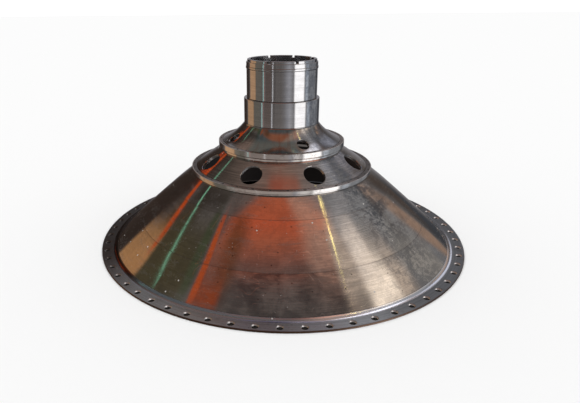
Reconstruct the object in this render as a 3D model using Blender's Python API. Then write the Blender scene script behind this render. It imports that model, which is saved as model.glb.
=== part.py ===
"""Hollow conical rotor hub with a flanged base, two balance ledges and a tubular neck.

Metres, +Z up. The origin is on the axis of revolution, in the plane of the
base flange's underside, so the hub stands on z = 0. Every ring is turned: its
profile is a closed loop of (radius, height) points that is carried round the
axis, and the holes and slots are then cut out of it.
"""

import math

import bmesh
import bpy
import numpy as np
from mathutils import Matrix, Vector

# Driving dimensions, in metres
BOLT_CIRCLE_R = 0.300
BOLT_HOLES = 60
BOLT_HOLE_D = 0.0095
BOLT_PHASE = math.radians(4.61)

FLANGE_R = 0.3086
FLANGE_T = 0.0028
FILLET_R = 0.011

# Profile points of the outer surface, as (radius, height)
LOWER_SEAM = (0.2391, 0.0452)
UPPER_SEAM = (0.1800, 0.0972)
MAIN_CONE_HEAD = (0.1485, 0.1218)
MIDDLE_CONE_FOOT = (0.1428, 0.1296)
MIDDLE_CONE_HEAD = (0.1012, 0.1582)
FLARE_FOOT = (0.0980, 0.1713)

LOWER_CONE_SLOPE = math.radians(42.0)
MAIN_WALL = 0.0045
MIDDLE_WALL = 0.0055

LOWER_LEDGE_R = 0.1506
LOWER_LEDGE_T = 0.0052
LOWER_LEDGE_UNDERCUT = 0.0012
LOWER_LEDGE_HOLES = 36
LOWER_LEDGE_HOLE_R = 0.1470
LOWER_LEDGE_PHASE = math.radians(2.43)

UPPER_LEDGE_R = 0.1042
UPPER_LEDGE_T = 0.0082
UPPER_LEDGE_UNDERCUT = 0.0022
UPPER_LEDGE_HOLES = 15
UPPER_LEDGE_HOLE_R = 0.1008
UPPER_LEDGE_PHASE = math.radians(4.59)

LEDGE_HOLE_D = 0.0026
LEDGE_HOLE_DEPTH = 0.0038
LEDGE_BEVEL = 0.0004

VENTS = 8
VENT_D = 0.0330
VENT_R = 0.1238
VENT_TILT = math.radians(40.0)
VENT_PHASE = math.radians(22.5)

FLARE_RADIUS = 0.0800
FLARE_FOOT_SLOPE = math.radians(20.5)
FLARE_WALL = 0.0055
FLARE_BORE_DEPTH = 0.0115
NECK_FILLET_R = 0.0040
DRAINS = 4
DRAIN_D = 0.0185
DRAIN_R = 0.0825
DRAIN_TILT = math.radians(35.0)

COLLAR_R = 0.0614
COLLAR_TOP = 0.2399
COLLAR_CHAMFER = 0.0008
NECK_R = 0.0570
NECK_TOP = 0.2854
BORE_R = 0.0505

END_GROOVE_R = 0.0562
END_BEAD_R = 0.0579
END_BEAD_FOOT = 0.2863
END_BEAD_TOP = 0.2895
END_RING_R = 0.0573
END_SHOULDER = 0.2964
END_LIP_R = 0.0556
END_TOP = 0.3002
END_CHAMFER = 0.0006
END_SLOTS = 8
END_SLOT_W = 0.0052

# Clearance at the foot of each ring, where it meets the one below
SEAM = 0.0003

# A drill is this many times as long as the wall that it goes through is thick
DRILL_REACH = 6

# Facets round the axis, on the holes and along the curved stretches of a profile
FINE = 72
MEDIUM = 60
COARSE = 48
BOLT_HOLE_SIDES = 8
VENT_SIDES = 20
DRAIN_SIDES = 16
LEDGE_HOLE_SIDES = 6
FILLET_STEPS = 4
UNDERCUT_STEPS = 3
FLARE_STEPS = 6
NECK_FILLET_STEPS = 3
SHARP_EDGE = math.radians(20.0)

COLOURS = {
    "machined_alloy": ((0.42, 0.39, 0.37), 0.28),
    "polished_neck": ((0.52, 0.52, 0.53), 0.15),
    "flange_alloy": ((0.20, 0.20, 0.21), 0.42),
}

Z_AXIS = Vector((0.0, 0.0, 1.0))


def clear_scene():
    """Remove whatever the file opened with."""
    for thing in list(bpy.data.objects):
        bpy.data.objects.remove(thing, do_unlink=True)


def metal(name):
    """A Principled metal with the colour and roughness listed for it."""
    found = bpy.data.materials.get(name)
    if found:
        return found
    colour, roughness = COLOURS[name]
    material = bpy.data.materials.new(name)
    material.use_nodes = True
    shader = material.node_tree.nodes["Principled BSDF"]
    shader.inputs["Base Color"].default_value = (*colour, 1.0)
    shader.inputs["Roughness"].default_value = roughness
    shader.inputs["Metallic"].default_value = 1.0
    return material


def polar(radius, angle, z):
    """A point at an angle counted from -Y towards +X."""
    return Vector((radius * math.sin(angle), -radius * math.cos(angle), z))


def around(count, phase):
    """The angles of a pattern of equal steps."""
    return [phase + 2.0 * math.pi * k / count for k in range(count)]


def turned(name, profile, sides, material):
    """Carry a closed loop of (radius, z) points, anticlockwise, round the axis."""
    mesh = bpy.data.meshes.new(name)
    angles = np.arange(sides) * (2.0 * math.pi / sides)
    loop = np.array(profile)
    count = len(loop)
    points = np.empty((sides, count, 3))
    points[:, :, 0] = np.sin(angles)[:, None] * loop[:, 0]
    points[:, :, 1] = -np.cos(angles)[:, None] * loop[:, 0]
    points[:, :, 2] = loop[:, 1]
    faces = []
    for i in range(sides):
        j = (i + 1) % sides
        for k in range(count):
            m = (k + 1) % count
            faces.append((i * count + k, j * count + k, j * count + m, i * count + m))
    mesh.from_pydata(points.reshape(-1, 3).tolist(), [], faces)
    mesh.materials.append(metal(material))
    ring = bpy.data.objects.new(name, mesh)
    bpy.context.scene.collection.objects.link(ring)
    mesh.shade_smooth()
    mesh.set_sharp_from_angle(angle=SHARP_EDGE)
    return ring


def drill(diameter, length, centre, axis, sides):
    """A closed prism of the given length about centre, along axis."""
    turn = axis.to_track_quat("Z", "Y").to_matrix().to_4x4()

    def build(shape):
        bmesh.ops.create_cone(
            shape, cap_ends=True, segments=sides, radius1=diameter / 2, radius2=diameter / 2,
            depth=length, matrix=Matrix.Translation(centre) @ turn)
    return build


def slot(width, length, depth, centre, angle):
    """A box that is width wide across a radius and length long along it."""
    size = Matrix.Diagonal((width, length, depth, 1.0))
    turn = Matrix.Rotation(angle, 4, "Z")

    def build(shape):
        bmesh.ops.create_cube(shape, size=1.0, matrix=Matrix.Translation(centre) @ turn @ size)
    return build


def cut(ring, name, solids):
    """Take a hidden cutter that holds all the solids out of the ring."""
    mesh = bpy.data.meshes.new(name)
    shape = bmesh.new()
    for build in solids:
        build(shape)
    shape.to_mesh(mesh)
    shape.free()
    tool = bpy.data.objects.new(name, mesh)
    tool.hide_render = True
    tool.display_type = "WIRE"
    bpy.context.scene.collection.objects.link(tool)
    modifier = ring.modifiers.new(name, "BOOLEAN")
    modifier.operation = "DIFFERENCE"
    modifier.solver = "EXACT"
    modifier.object = tool


def arc(centre, radius, start, end, steps):
    """Points on an arc in the profile plane, ends included."""
    turn = np.linspace(start, end, steps + 1)
    return [(centre[0] + radius * math.cos(t), centre[1] + radius * math.sin(t)) for t in turn]


def heading(start, end):
    """Unit vector along a run of the profile."""
    return Vector((end[0] - start[0], end[1] - start[1])).normalized()


def moved(point, run, along, inward):
    """A profile point moved along a run that goes down and outwards, and into its wall."""
    return (point[0] + run.x * along + run.y * inward, point[1] + run.y * along - run.x * inward)


def mitre(point, above, below, thickness):
    """Inner point of the wall where two runs of the profile meet."""
    bend = above.angle(below) / 2
    middle = (above + below).normalized()
    return moved(point, middle, 0.0, thickness / math.cos(bend))


def shell(names, outer, thickness, sides, material):
    """Conical rings one below the other, with the seams at the outer profile points."""
    runs = [heading(a, b) for a, b in zip(outer[:-1], outer[1:])]
    inner = [moved(outer[0], runs[0], 0.0, thickness)]
    inner += [mitre(p, a, b, thickness) for p, a, b in zip(outer[1:-1], runs[:-1], runs[1:])]
    inner.append(moved(outer[-1], runs[-1], 0.0, thickness))
    rings = []
    for k, name in enumerate(names):
        feet = [moved(p, runs[k], -SEAM, 0.0) for p in (inner[k + 1], outer[k + 1])]
        rings.append(turned(name, [outer[k], inner[k], *feet], sides, material))
    return rings


def ledge(name, top_inner, rim_r, thickness, undercut, foot, inner_points, sides):
    """Flat-topped ring that stands out of the wall, with a rounded undercut below it."""
    top = top_inner[1]
    under = top - thickness
    bevel = LEDGE_BEVEL
    centre = (foot[0] + undercut, under - undercut)
    hollow = arc(centre, undercut, math.pi, math.pi / 2, UNDERCUT_STEPS)
    profile = [
        (rim_r, top - bevel), (rim_r - bevel, top), top_inner, *inner_points,
        (foot[0], foot[1] + SEAM), *hollow, (rim_r - bevel, under), (rim_r, under + bevel)]
    return turned(name, profile, sides, "machined_alloy")


def ledge_holes(ring, count, radius, phase, top):
    """Small blind holes drilled down into a ledge."""
    solids = [
        drill(LEDGE_HOLE_D, 2 * LEDGE_HOLE_DEPTH, polar(radius, a, top), Z_AXIS, LEDGE_HOLE_SIDES)
        for a in around(count, phase)]
    cut(ring, ring.name + "_drill", solids)


def height_on(start, end, radius):
    """Height of a straight run of the profile at a radius."""
    share = (radius - start[0]) / (end[0] - start[0])
    return start[1] + share * (end[1] - start[1])


clear_scene()

# Base flange, with the fillet that runs up to the cone
bend = math.tan(LOWER_CONE_SLOPE / 2) * FILLET_R
meet_r = LOWER_SEAM[0] + (LOWER_SEAM[1] - FLANGE_T) / math.tan(LOWER_CONE_SLOPE)
fillet_centre = (meet_r + bend, FLANGE_T + FILLET_R)
fillet_end = -math.pi / 2 - LOWER_CONE_SLOPE
fillet = arc(fillet_centre, FILLET_R, -math.pi / 2, fillet_end, FILLET_STEPS)
fillet_head = fillet[-1]
lower_run = heading(LOWER_SEAM, fillet_head)
head_inner = moved(fillet_head, lower_run, 0.0, MAIN_WALL)
foot_inner = (head_inner[0] + head_inner[1] / math.tan(LOWER_CONE_SLOPE), 0.0)
base_flange = turned(
    "base_flange",
    [(FLANGE_R, FLANGE_T), *fillet, head_inner, foot_inner, (FLANGE_R, 0.0)],
    FINE, "flange_alloy")
bolt_holes = []
for a in around(BOLT_HOLES, BOLT_PHASE):
    centre = polar(BOLT_CIRCLE_R, a, FLANGE_T / 2)
    bolt_holes.append(drill(BOLT_HOLE_D, DRILL_REACH * FLANGE_T, centre, Z_AXIS, BOLT_HOLE_SIDES))
cut(base_flange, "bolt_hole_drill", bolt_holes)

# Main cone, welded up from three rings
shell(
    ["main_cone_upper", "main_cone_middle", "main_cone_lower"],
    [MAIN_CONE_HEAD, UPPER_SEAM, LOWER_SEAM, fillet_head],
    MAIN_WALL, FINE, "machined_alloy")

# Middle cone with its ring of round vents
middle_run = heading(MIDDLE_CONE_HEAD, MIDDLE_CONE_FOOT)
middle_cone, = shell(
    ["middle_cone"], [MIDDLE_CONE_HEAD, MIDDLE_CONE_FOOT], MIDDLE_WALL, MEDIUM, "machined_alloy")
vent_z = height_on(MIDDLE_CONE_HEAD, MIDDLE_CONE_FOOT, VENT_R)
vents = []
for a in around(VENTS, VENT_PHASE):
    centre = polar(VENT_R, a, vent_z)
    outward = polar(math.cos(VENT_TILT), a, math.sin(VENT_TILT))
    vents.append(drill(VENT_D, DRILL_REACH * MIDDLE_WALL, centre, outward, VENT_SIDES))
cut(middle_cone, "vent_drill", vents)

# Lower balance ledge, between the main cone and the middle cone
main_run = heading(MAIN_CONE_HEAD, UPPER_SEAM)
lower_ledge = ledge(
    "lower_balance_ledge", MIDDLE_CONE_FOOT, LOWER_LEDGE_R, LOWER_LEDGE_T, LOWER_LEDGE_UNDERCUT,
    MAIN_CONE_HEAD,
    [moved(MIDDLE_CONE_FOOT, middle_run, 0.0, MIDDLE_WALL),
     moved(MAIN_CONE_HEAD, main_run, -SEAM, MAIN_WALL)],
    MEDIUM)
ledge_holes(
    lower_ledge, LOWER_LEDGE_HOLES, LOWER_LEDGE_HOLE_R, LOWER_LEDGE_PHASE, MIDDLE_CONE_FOOT[1])

# Flared cone that sweeps in to a small fillet at the neck, with four drain holes
flare_centre = (
    FLARE_FOOT[0] + FLARE_RADIUS * math.sin(FLARE_FOOT_SLOPE),
    FLARE_FOOT[1] + FLARE_RADIUS * math.cos(FLARE_FOOT_SLOPE))
neck_fillet_r = COLLAR_R + NECK_FILLET_R
flare_head_slope = math.asin((flare_centre[0] - neck_fillet_r) / (FLARE_RADIUS - NECK_FILLET_R))
neck_fillet_z = flare_centre[1] - (FLARE_RADIUS - NECK_FILLET_R) * math.cos(flare_head_slope)
foot_angle = -math.pi / 2 - FLARE_FOOT_SLOPE
head_angle = -math.pi / 2 - flare_head_slope
flare_arc = arc(flare_centre, FLARE_RADIUS, foot_angle, head_angle, FLARE_STEPS)
neck_fillet = arc((neck_fillet_r, neck_fillet_z), NECK_FILLET_R, head_angle, -math.pi, NECK_FILLET_STEPS)
flare_top = neck_fillet[-1][1]
flare_run = Vector((math.cos(FLARE_FOOT_SLOPE), -math.sin(FLARE_FOOT_SLOPE)))
flare_inner_foot = moved(FLARE_FOOT, flare_run, 0.0, FLARE_WALL)
flare_feet = [(r, z + SEAM) for r, z in (flare_inner_foot, FLARE_FOOT)]
flare_cone = turned(
    "flare_cone",
    [*flare_arc[1:], *neck_fillet[1:],
     (BORE_R, flare_top), (BORE_R, flare_top - FLARE_BORE_DEPTH), *flare_feet],
    COARSE, "machined_alloy")
drain_z = flare_centre[1] - math.sqrt(FLARE_RADIUS ** 2 - (flare_centre[0] - DRAIN_R) ** 2)
drains = []
for a in around(DRAINS, VENT_PHASE):
    centre = polar(DRAIN_R, a, drain_z)
    outward = polar(math.cos(DRAIN_TILT), a, math.sin(DRAIN_TILT))
    drains.append(drill(DRAIN_D, DRILL_REACH * FLARE_WALL, centre, outward, DRAIN_SIDES))
cut(flare_cone, "drain_drill", drains)

# Upper balance ledge, between the middle cone and the flare
upper_ledge = ledge(
    "upper_balance_ledge", FLARE_FOOT, UPPER_LEDGE_R, UPPER_LEDGE_T, UPPER_LEDGE_UNDERCUT,
    MIDDLE_CONE_HEAD,
    [flare_inner_foot, moved(MIDDLE_CONE_HEAD, middle_run, -SEAM, MIDDLE_WALL)],
    COARSE)
ledge_holes(
    upper_ledge, UPPER_LEDGE_HOLES, UPPER_LEDGE_HOLE_R, UPPER_LEDGE_PHASE, FLARE_FOOT[1])

# Neck: a thicker collar, then the polished tube
turned(
    "neck_collar",
    [(COLLAR_R, COLLAR_TOP - COLLAR_CHAMFER), (COLLAR_R - COLLAR_CHAMFER, COLLAR_TOP),
     (BORE_R, COLLAR_TOP), (BORE_R, flare_top + SEAM), (COLLAR_R, flare_top + SEAM)],
    COARSE, "polished_neck")
turned(
    "neck_tube",
    [(NECK_R, NECK_TOP), (BORE_R, NECK_TOP), (BORE_R, COLLAR_TOP + SEAM), (NECK_R, COLLAR_TOP + SEAM)],
    COARSE, "polished_neck")

# End ring: a bead over a groove, then the castellated lip
end_ring = turned(
    "slotted_end_ring",
    [(END_GROOVE_R, NECK_TOP + SEAM), (END_GROOVE_R, END_BEAD_FOOT), (END_BEAD_R, END_BEAD_FOOT),
     (END_BEAD_R, END_BEAD_TOP - END_CHAMFER), (END_RING_R, END_BEAD_TOP),
     (END_RING_R, END_SHOULDER - END_CHAMFER), (END_RING_R - END_CHAMFER, END_SHOULDER),
     (END_LIP_R, END_SHOULDER), (END_LIP_R, END_TOP - END_CHAMFER),
     (END_LIP_R - END_CHAMFER, END_TOP), (BORE_R, END_TOP), (BORE_R, NECK_TOP + SEAM)],
    COARSE, "polished_neck")
lip_middle = (END_LIP_R + BORE_R) / 2
lip_wall = END_LIP_R - BORE_R
slot_cuts = [
    slot(END_SLOT_W, 2 * lip_wall, 2 * (END_TOP - END_SHOULDER), polar(lip_middle, a, END_TOP), a)
    for a in around(END_SLOTS, VENT_PHASE)]
cut(end_ring, "slot_mill", slot_cuts)
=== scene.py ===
import math
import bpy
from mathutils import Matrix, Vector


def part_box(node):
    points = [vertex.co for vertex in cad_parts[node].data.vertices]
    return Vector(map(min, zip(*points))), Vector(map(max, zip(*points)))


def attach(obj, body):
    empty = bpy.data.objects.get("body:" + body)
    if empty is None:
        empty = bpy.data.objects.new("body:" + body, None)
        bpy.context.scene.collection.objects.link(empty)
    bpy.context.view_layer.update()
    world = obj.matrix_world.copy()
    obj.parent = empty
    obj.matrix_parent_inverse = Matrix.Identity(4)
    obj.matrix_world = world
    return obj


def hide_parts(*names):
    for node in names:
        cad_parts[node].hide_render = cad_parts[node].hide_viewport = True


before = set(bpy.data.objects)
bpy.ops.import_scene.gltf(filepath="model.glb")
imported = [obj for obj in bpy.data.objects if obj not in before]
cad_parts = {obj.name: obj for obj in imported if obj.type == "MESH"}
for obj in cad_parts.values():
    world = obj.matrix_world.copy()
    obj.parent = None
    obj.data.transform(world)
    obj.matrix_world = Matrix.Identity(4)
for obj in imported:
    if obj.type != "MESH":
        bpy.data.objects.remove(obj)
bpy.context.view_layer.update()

from types import SimpleNamespace

import bmesh
import bpy
import numpy as np
from mathutils import Matrix, Vector


# Base flange
# The flat rim that bolts to the rotor disc: a turned ring with 60 drilled holes, and the
# fillet that runs up to the cone. It is left dull from the lathe, darker than the cone.

flange_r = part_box("base_flange")[1].x
flange_t = 0.0028
fillet_r = 0.011
lower_slope = math.radians(42.0)
main_wall = 0.0045
seam = 0.0003

bolt_holes = 60
bolt_circle_r = 0.300
bolt_hole_r = 0.00475
bolt_chamfer = 0.0005
bolt_phase = math.radians(4.61)


def directions(count, phase):
    """Angles of a pattern of equal steps, counted from -Y towards +X."""
    return phase + 2 * math.pi * np.arange(count) / count


def placed(face, along, turn, centres=(0.0,)):
    """Points of a turned face: distance along its profile and angle round the axis.

    face gives (radius, height) at a distance along the profile. The points are
    (r sin a, -r cos a, z), once for each centre angle, which is added to turn.
    """
    r, z = face(along)
    angle = np.asarray(centres).reshape((-1,) + (1,) * np.ndim(turn)) + turn
    return np.stack([r * np.sin(angle), -r * np.cos(angle), z + 0 * angle], axis=-1)


def turned(profile, angles):
    """The grid that a profile of (radius, height) points sweeps through the angles."""
    r, z = np.asarray(profile).T
    return placed(lambda _: (r, z), None, np.asarray(angles)[:, None] + 0 * r)


def eased(corners, steps=3):
    """A profile whose corners (radius, height, ease) are small arcs of radius ease.

    With u and v the unit vectors from a corner to its neighbours and w half the angle
    between them, the arc's centre lies ease / sin w along u + v, and its ends lie
    ease / tan w along u and v. A point half an ease further out holds the flat beside it.
    """
    out = [corners[0][:2]]
    for (ar, az, _), (r, z, ease), (br, bz, _) in zip(corners[:-2], corners[1:-1], corners[2:]):
        corner = np.array([r, z])
        if ease == 0:
            out.append(corner)
            continue
        u = np.array([ar, az]) - corner
        v = np.array([br, bz]) - corner
        u /= np.linalg.norm(u)
        v /= np.linalg.norm(v)
        half = math.acos(np.clip(u @ v, -1, 1)) / 2
        reach = ease / math.tan(half)
        centre = corner + (u + v) / np.linalg.norm(u + v) * ease / math.sin(half)
        start = corner + u * reach - centre
        end = corner + v * reach - centre
        sweep = math.pi - 2 * half
        share = np.linspace(0, 1, steps + 1)[:, None]
        bow = (np.sin((1 - share) * sweep) * start + np.sin(share * sweep) * end) / math.sin(sweep)
        out += [corner + u * (reach + ease / 2), *(centre + bow), corner + v * (reach + ease / 2)]
    out.append(corners[-1][:2])
    return np.array(out)


def arc(centre, radius, start, end, steps):
    """Points (radius, height) on an arc of the profile, with ease 0, ends included."""
    turn = np.linspace(start, end, steps + 1)
    return [(centre[0] + radius * math.cos(t), centre[1] + radius * math.sin(t), 0) for t in turn]


def straight(start, end):
    """A straight run of the profile as a face: (radius, height) at a distance from start."""
    run = np.subtract(end, start) / math.dist(start, end)
    return lambda along: (start[0] + run[0] * along, start[1] + run[1] * along)


def mouth(face, guess, centre, run, radius, turn):
    """Where a round drill meets a face, as distance along it and angle round the axis.

    The drill's axis passes through centre, square to run. A point of the face lies
    x = radius cos turn from the axis along run and y = radius sin turn across it.
    Then the angle is asin(y / r), and Newton's method finds the distance that gives x.
    """
    x = radius * np.cos(turn)
    y = radius * np.sin(turn)
    along = guess + x
    nudge = 1e-6

    def miss(distance):
        r, z = face(distance)
        return (np.sqrt(r * r - y * y) - centre[0]) * run[0] + (z - centre[1]) * run[1] - x

    for _ in range(8):
        along = along - miss(along) * nudge / (miss(along + nudge) - miss(along))
    r, _ = face(along)
    return along, np.arcsin(y / r)


def rim_of_cell(steps):
    """Points round the square from (-1, -1), steps to a side, and their direction."""
    side = np.linspace(-1, 1, steps + 1)[:-1]
    one = np.ones(steps)
    u = np.concatenate([side, one, -side, -one, [-1]])
    v = np.concatenate([-one, side, one, -side, [-1]])
    return u, v, np.arctan2(v, u)


def cell(face, edge, low, high, half, steps, layers):
    """Distance and angle over the patch between a hole's edge and the cell around it.

    Each layer lies between the edge (layer 0) and the rectangle low to high along the
    profile and -half to half round the axis (the last layer), closer together at the edge.
    """
    u, v, _ = rim_of_cell(steps)
    share = (np.linspace(0, 1, layers + 1) ** 1.4)[None, :]
    outer_along = (low + high) / 2 + u * (high - low) / 2
    along = edge[0][:, None] * (1 - share) + outer_along[:, None] * share
    turn = edge[1][:, None] * (1 - share) + (v * half)[:, None] * share
    return along, turn


def columns(centres, half, steps, between):
    """Angles of all columns: steps across each cell and between steps from cell to cell."""
    pitch = centres[1] - centres[0]
    across = np.linspace(-half, half, steps + 1)[:-1]
    beside = np.linspace(half, pitch - half, between + 1)[:-1]
    one = np.concatenate([across, beside])
    every = (centres[:, None] + one[None, :]).ravel()
    return np.append(every, every[0] + 2 * math.pi)


def piece(name, patches, polygons=()):
    """One closed mesh from patches, arrays of (copies, rows, columns, 3) points.

    Points that meet are merged, and the normals then point out of the closed shell.
    """
    points = []
    faces = []
    count = 0
    for patch in patches:
        copies, rows, cols = patch.shape[:3]
        index = count + np.arange(copies * rows * cols).reshape(copies, rows, cols)
        quads = np.stack([
            index[:, :-1, :-1], index[:, 1:, :-1], index[:, 1:, 1:], index[:, :-1, 1:]], axis=-1)
        points.append(patch.reshape(-1, 3))
        faces += quads.reshape(-1, 4).tolist()
        count += index.size
    for polygon in polygons:
        points.append(np.asarray(polygon))
        faces.append(list(range(count, count + len(polygon))))
        count += len(polygon)
    mesh = bpy.data.meshes.new(name)
    mesh.from_pydata(np.concatenate(points).tolist(), [], faces)
    shell = bmesh.new()
    shell.from_mesh(mesh)
    bmesh.ops.remove_doubles(shell, verts=shell.verts, dist=2e-6)
    bmesh.ops.recalc_face_normals(shell, faces=shell.faces)
    shell.to_mesh(mesh)
    shell.free()
    mesh.shade_smooth()
    mesh.set_sharp_from_angle(angle=math.radians(36))
    made = bpy.data.objects.new(name, mesh)
    bpy.context.scene.collection.objects.link(made)
    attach(made, "root")
    return made


def bored(outer, inner, low, high, centres, half, steps, between, hole, layers=4):
    """Patches for a wall with a row of holes: both faces, and the bores between them.

    outer and inner are faces that keep the same distances along them; low and high bound
    the holed band. hole holds the drill's centre, run, radius and chamfer on the profile.
    """
    centre, run, radius, chamfer, at = hole
    _, _, turn = rim_of_cell(steps)
    pitch = centres[1] - centres[0]
    beside = np.linspace(half, pitch - half, between + 1)[:, None]
    band = np.linspace(low, high, steps + 1)[None, :]
    patches = []
    for face in (outer, inner):
        edge = mouth(face, at, centre, run, radius + chamfer, turn)
        patches.append(placed(face, *cell(face, edge, low, high, half, steps, layers), centres))
        patches.append(placed(face, band + 0 * beside, beside + 0 * band, centres))
    loops = [
        placed(outer, *mouth(outer, at, centre, run, radius + chamfer, turn), centres),
        placed(inner, *mouth(inner, at, centre, run, radius + chamfer, turn), centres)]
    if chamfer:
        deep = [mouth(sunk(outer, chamfer), at, centre, run, radius, turn),
                mouth(sunk(inner, -chamfer), at, centre, run, radius, turn)]
        loops[1:1] = [
            placed(sunk(outer, chamfer), *deep[0], centres),
            placed(sunk(inner, -chamfer), *deep[1], centres)]
    patches.append(np.stack(loops, axis=2))
    return patches


def sunk(face, depth):
    """The same face set into the wall by a depth, square to the profile."""
    def deeper(along):
        r, z = face(along)
        dr, dz = np.subtract(face(along + 1e-5), face(along - 1e-5)) / 2e-5
        return r + dz * depth, z - dr * depth
    return deeper


lower_head_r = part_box("main_cone_middle")[1].x
lower_head_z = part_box("main_cone_lower")[1].z
meet_r = lower_head_r + (lower_head_z - flange_t) / math.tan(lower_slope)
fillet_centre = (meet_r + math.tan(lower_slope / 2) * fillet_r, flange_t + fillet_r)
fillet = arc(fillet_centre, fillet_r, -math.pi / 2, -math.pi / 2 - lower_slope, 16)
fillet_head = fillet[-1]
cone_foot_inner = (
    fillet_head[0] - main_wall * math.sin(lower_slope), fillet_head[1] - main_wall * math.cos(lower_slope))
under_inner_r = cone_foot_inner[0] + cone_foot_inner[1] / math.tan(lower_slope)
band_low = bolt_circle_r - 0.0068
band_high = bolt_circle_r + 0.0068

flange_centres = directions(bolt_holes, bolt_phase)
flange_half = math.radians(1.5)
flange_angles = columns(flange_centres, flange_half, 8, 2)
inner_run = eased([
    (band_low, flange_t, 0), *fillet[:-1], (*fillet_head[:2], 0.0003), (*cone_foot_inner, 0.0003),
    (under_inner_r, 0.0, 0.0003), (band_low, 0.0, 0)])
outer_run = eased([
    (band_high, 0.0, 0), (flange_r, 0.0, 0.0003), (flange_r, flange_t, 0.0006), (band_high, flange_t, 0)])
flange_top = straight((0.0, flange_t), (1.0, flange_t))
flange_under = straight((0.0, 0.0), (1.0, 0.0))
flange = piece("flange_rim", [
    turned(inner_run, flange_angles), turned(outer_run, flange_angles),
    *bored(flange_top, flange_under, band_low, band_high, flange_centres, flange_half, 8, 2,
           ((bolt_circle_r, flange_t), (1.0, 0.0), bolt_hole_r, bolt_chamfer, bolt_circle_r))])
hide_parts("base_flange")


class Tone:
    """A socket of a node tree: sums on it add Math nodes, and node() adds any other node."""

    def __init__(self, tree, socket=None):
        self.tree = tree
        self.socket = socket

    def node(self, kind, settings=None, values=None, out=0):
        """Add a node: its settings first, then the values or links of its sockets."""
        made = self.tree.nodes.new("ShaderNode" + kind)
        for name, value in (settings or {}).items():
            setattr(made, name, value)
        for key, value in (values or {}).items():
            if isinstance(value, Tone):
                self.tree.links.new(value.socket, made.inputs[key])
            elif made.inputs[key].type == "RGBA":
                made.inputs[key].default_value = (*value, 1.0)
            else:
                made.inputs[key].default_value = value
        return Tone(self.tree, made.outputs[out])

    def also(self, out):
        """Another output of the node that this socket belongs to."""
        return Tone(self.tree, self.socket.node.outputs[out])

    def math(self, operation, *values):
        return self.node("Math", {"operation": operation}, dict(enumerate(values)))

    def __add__(self, other):
        return self.math("ADD", self, other)

    def __sub__(self, other):
        return self.math("SUBTRACT", self, other)

    def __rsub__(self, other):
        return self.math("SUBTRACT", other, self)

    def __mul__(self, other):
        return self.math("MULTIPLY", self, other)

    def __truediv__(self, other):
        return self.math("DIVIDE", self, other)

    def __pow__(self, other):
        return self.math("POWER", self, other)

    def __abs__(self):
        return self.math("ABSOLUTE", self)

    __radd__ = __add__
    __rmul__ = __mul__

    def soft(self, none, full):
        """A smooth step of this number: 0 at none, 1 at full, whichever is the larger."""
        return self.node("MapRange", {"interpolation_type": "SMOOTHSTEP"}, {
            "Value": self, "From Min": none, "From Max": full})

    def between(self, low, high, ease):
        """1 from low to high, easing to 0 over ease on both sides."""
        return self.soft(low - ease, low + ease) * self.soft(high + ease, high - ease)

    def over(self, under, colour, blend="MIX"):
        """A colour laid over another with this number as its share."""
        return self.node("Mix", {"data_type": "RGBA", "blend_type": blend}, {
            0: self, 6: under, 7: colour}, out=2)


def metal(name, head, run):
    """A new material for a turned piece, with the places that its patterns read.

    All are in the piece's own frame: spot is the point, r its distance from the axis,
    angle its turn from -Y towards +X in degrees, along its distance down the profile's
    run from head, and deep its distance below that run's line.
    """
    made = bpy.data.materials.new(name)
    made.use_nodes = True
    spot = Tone(made.node_tree).node("TexCoord", out="Object")
    x = spot.node("SeparateXYZ", values={0: spot})
    y = x.also("Y")
    z = x.also("Z")
    r = (x * x + y * y) ** 0.5
    out = r - head[0]
    up = z - head[1]
    return SimpleNamespace(
        made=made, spot=spot, r=r, z=z, sine=x / r, cosine=y / r,
        angle=x.math("ARCTAN2", x, y * -1) * math.degrees(1),
        along=out * run[0] + up * run[1], deep=out * run[1] - up * run[0])


def lathe_lines(at, step, reach=2.0):
    """Lines round a piece: noise with a period of step down the profile, long round the axis."""
    place = at.spot.node("CombineXYZ", values={0: at.sine * reach, 1: at.cosine * reach, 2: at.along / step})
    return place.node("TexNoise", values={"Vector": place, "Scale": 1.0, "Detail": 3.0, "Roughness": 0.6})


def clouds(at, size, detail=5.0, drift=0.0):
    """Soft patches of about a size in metres, 0 to 1 with most near a half."""
    return at.spot.node("TexNoise", values={
        "Vector": at.spot, "Scale": 1 / size, "Detail": detail, "Roughness": 0.6, "Distortion": drift})


def smears(at, size, long):
    """Patches drawn out round the axis, long times as far as down the profile."""
    turn = 0.2 / size / long
    place = at.spot.node("CombineXYZ", values={0: at.sine * turn, 1: at.cosine * turn, 2: at.along / size})
    return place.node("TexNoise", values={
        "Vector": place, "Scale": 1.0, "Detail": 6.0, "Roughness": 0.65, "Distortion": 0.8})


def specks(at, apart, radius, share):
    """Small dots about apart from each other, in the share of the cells that is kept."""
    cells = at.spot.node("TexVoronoi", values={"Vector": at.spot, "Scale": 1 / apart}, out="Distance")
    drawn = cells.node("SeparateColor", values={0: cells.also("Color")})
    return cells.soft(1.2 * radius / apart, 0.7 * radius / apart) * drawn.soft(share, share * 0.98)


def hairlines(at, size, width):
    """Thin curved scratches: where a smooth noise crosses one half, in broken stretches."""
    bend = clouds(at, size, 1.0, 1.5)
    breaks = clouds(at, size * 0.6, 2.0).soft(0.56, 0.6)
    return abs(bend - 0.5).soft(width, width * 0.3) * breaks


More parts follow.
